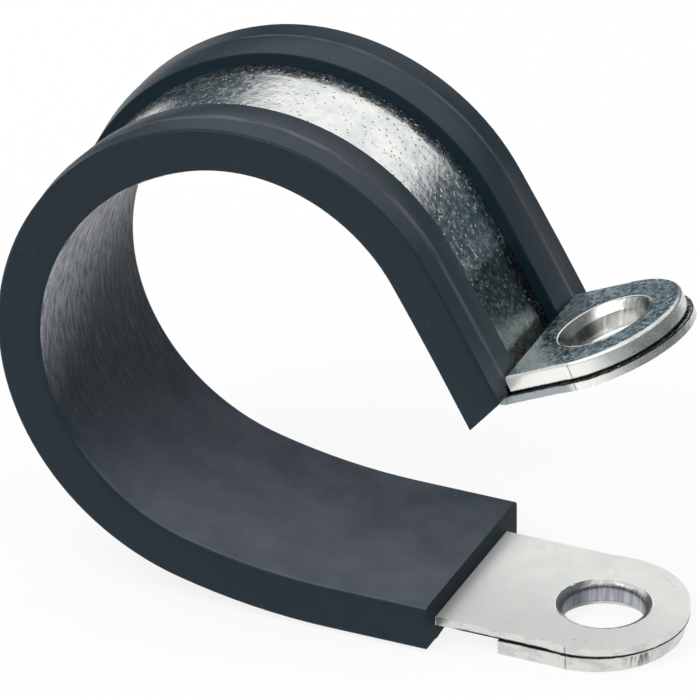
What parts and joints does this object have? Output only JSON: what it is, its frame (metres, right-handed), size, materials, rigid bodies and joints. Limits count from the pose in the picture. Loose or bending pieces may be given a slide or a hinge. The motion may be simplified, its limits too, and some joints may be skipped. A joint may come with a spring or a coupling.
{
  "type": "p clip",
  "caption": "Open rubber-lined P clip: a zinc-plated steel strap formed into a ring with two bolt tabs, a black rubber channel round it and a plate on each tab.",
  "frame": {"origin": "centre of the lower fixing hole, on the strap's outer face, where the lower plate seats", "axes": "+Z along the lower hole, from the plate towards the upper tab; +X from the ring towards the rounded end of the tab; +Y along the axis of the held tube"},
  "size_m": [0.0579, 0.019, 0.0457],
  "materials": {
    "zinc_strap": "zinc plated, satin with fine scratches",
    "rubber_liner": "matte, with faint wrinkles along the inside",
    "zinc_plate": "zinc plated, satin, with sheared edges"
  },
  "bodies": {
    "root": {"strap": "zinc_strap", "liner": "rubber_liner", "upper_plate": "zinc_plate", "lower_plate": "zinc_plate"}
  },
  "joints": []
}
